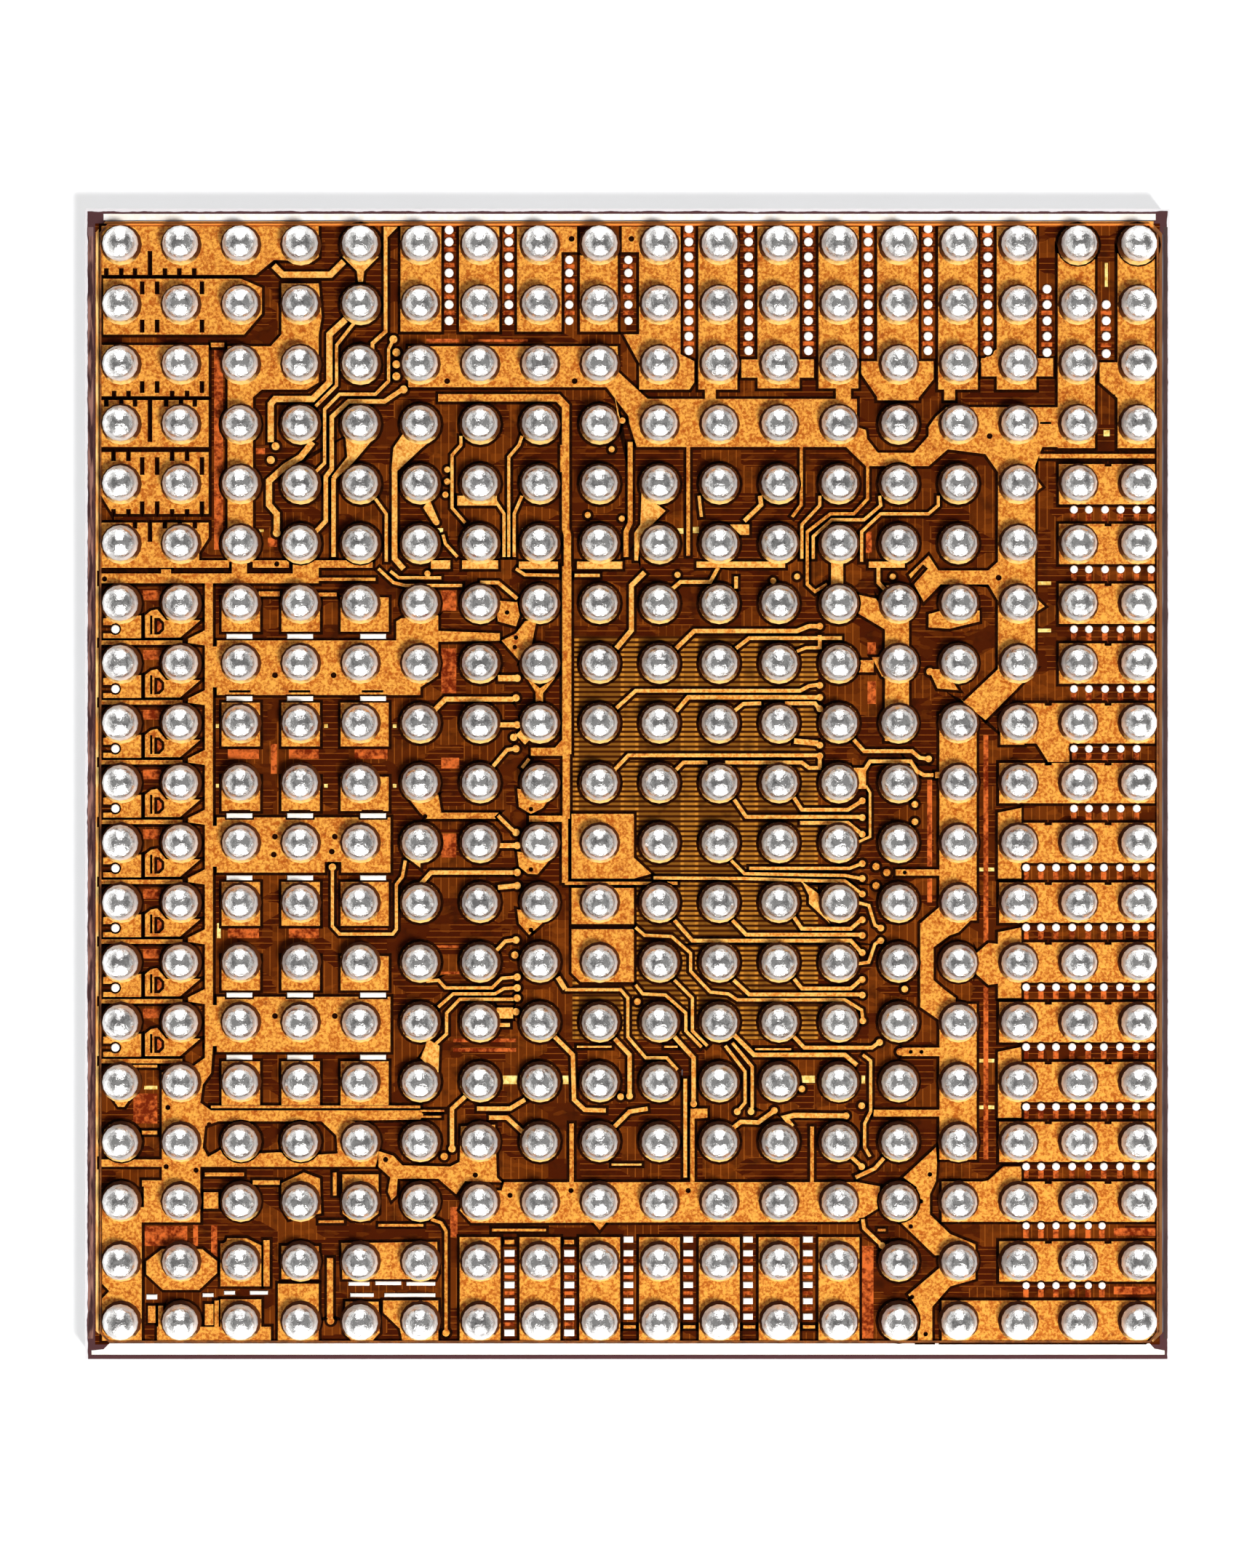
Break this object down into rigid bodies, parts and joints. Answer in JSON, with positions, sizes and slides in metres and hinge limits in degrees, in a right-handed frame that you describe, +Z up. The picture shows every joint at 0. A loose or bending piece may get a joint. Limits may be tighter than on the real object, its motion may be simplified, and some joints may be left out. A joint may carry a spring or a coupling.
{
  "type": "wafer-level ball grid array chip",
  "caption": "Thin square-edged silicon chip with a black back and a full grid of solder balls on patterned copper wiring, lying balls up.",
  "frame": {"origin": "middle of the black back face, on the surface it lies on", "axes": "+Z up through the solder balls, +Y towards the far edge (ball row A), +X to the right seen from above"},
  "size_m": [0.0072, 0.0076, 0.0005],
  "materials": {
    "back_film": "fine matte grain",
    "silicon": "sawn, satin",
    "passivation": "glossy dark brown",
    "strap_metal": "red-brown under polyimide",
    "yellow_metal": "bright",
    "cream_metal": "bright cream",
    "band_metal": "purple-brown",
    "guard_metal": "bright line",
    "polyimide": "clear amber",
    "copper": "grainy, under amber polyimide",
    "via_metal": "bright",
    "bump_metal": "satin",
    "solder": "reflowed solder, bright"
  },
  "bodies": {
    "root": {"backside_film": "back_film", "silicon_die": "silicon", "die_passivation": "passivation", "die_power_straps": "strap_metal", "die_marks": "yellow_metal", "edge_strips": "cream_metal", "edge_bands": "band_metal", "guard_lines": "guard_metal", "lower_polyimide": "polyimide", "pours_far_left": "copper", "pours_far_right": "copper", "pours_left_cells": "copper", "pours_left_block": "copper", "pours_middle": "copper", "pours_right_strips": "copper", "pours_right_bank": "copper", "pours_near_left": "copper", "pours_near_middle": "copper", "pours_near_bank": "copper", "traces_far_left": "copper", "traces_far_right": "copper", "traces_middle_left": "copper", "traces_center": "copper", "traces_near": "copper", "via_dots_far": "via_metal", "via_dots_right": "via_metal", "via_bars_left": "via_metal", "via_ovals_near": "via_metal", "upper_polyimide": "polyimide", "under_bump_metal": "bump_metal", "ball_row_a": "solder", "ball_row_b": "solder", "ball_row_c": "solder", "ball_row_d": "solder", "ball_row_e": "solder", "ball_row_f": "solder", "ball_row_g": "solder", "ball_row_h": "solder", "ball_row_j": "solder", "ball_row_k": "solder", "ball_row_l": "solder", "ball_row_m": "solder", "ball_row_n": "solder", "ball_row_p": "solder", "ball_row_r": "solder", "ball_row_t": "solder", "ball_row_u": "solder", "ball_row_v": "solder", "ball_row_w": "solder"}
  },
  "joints": []
}
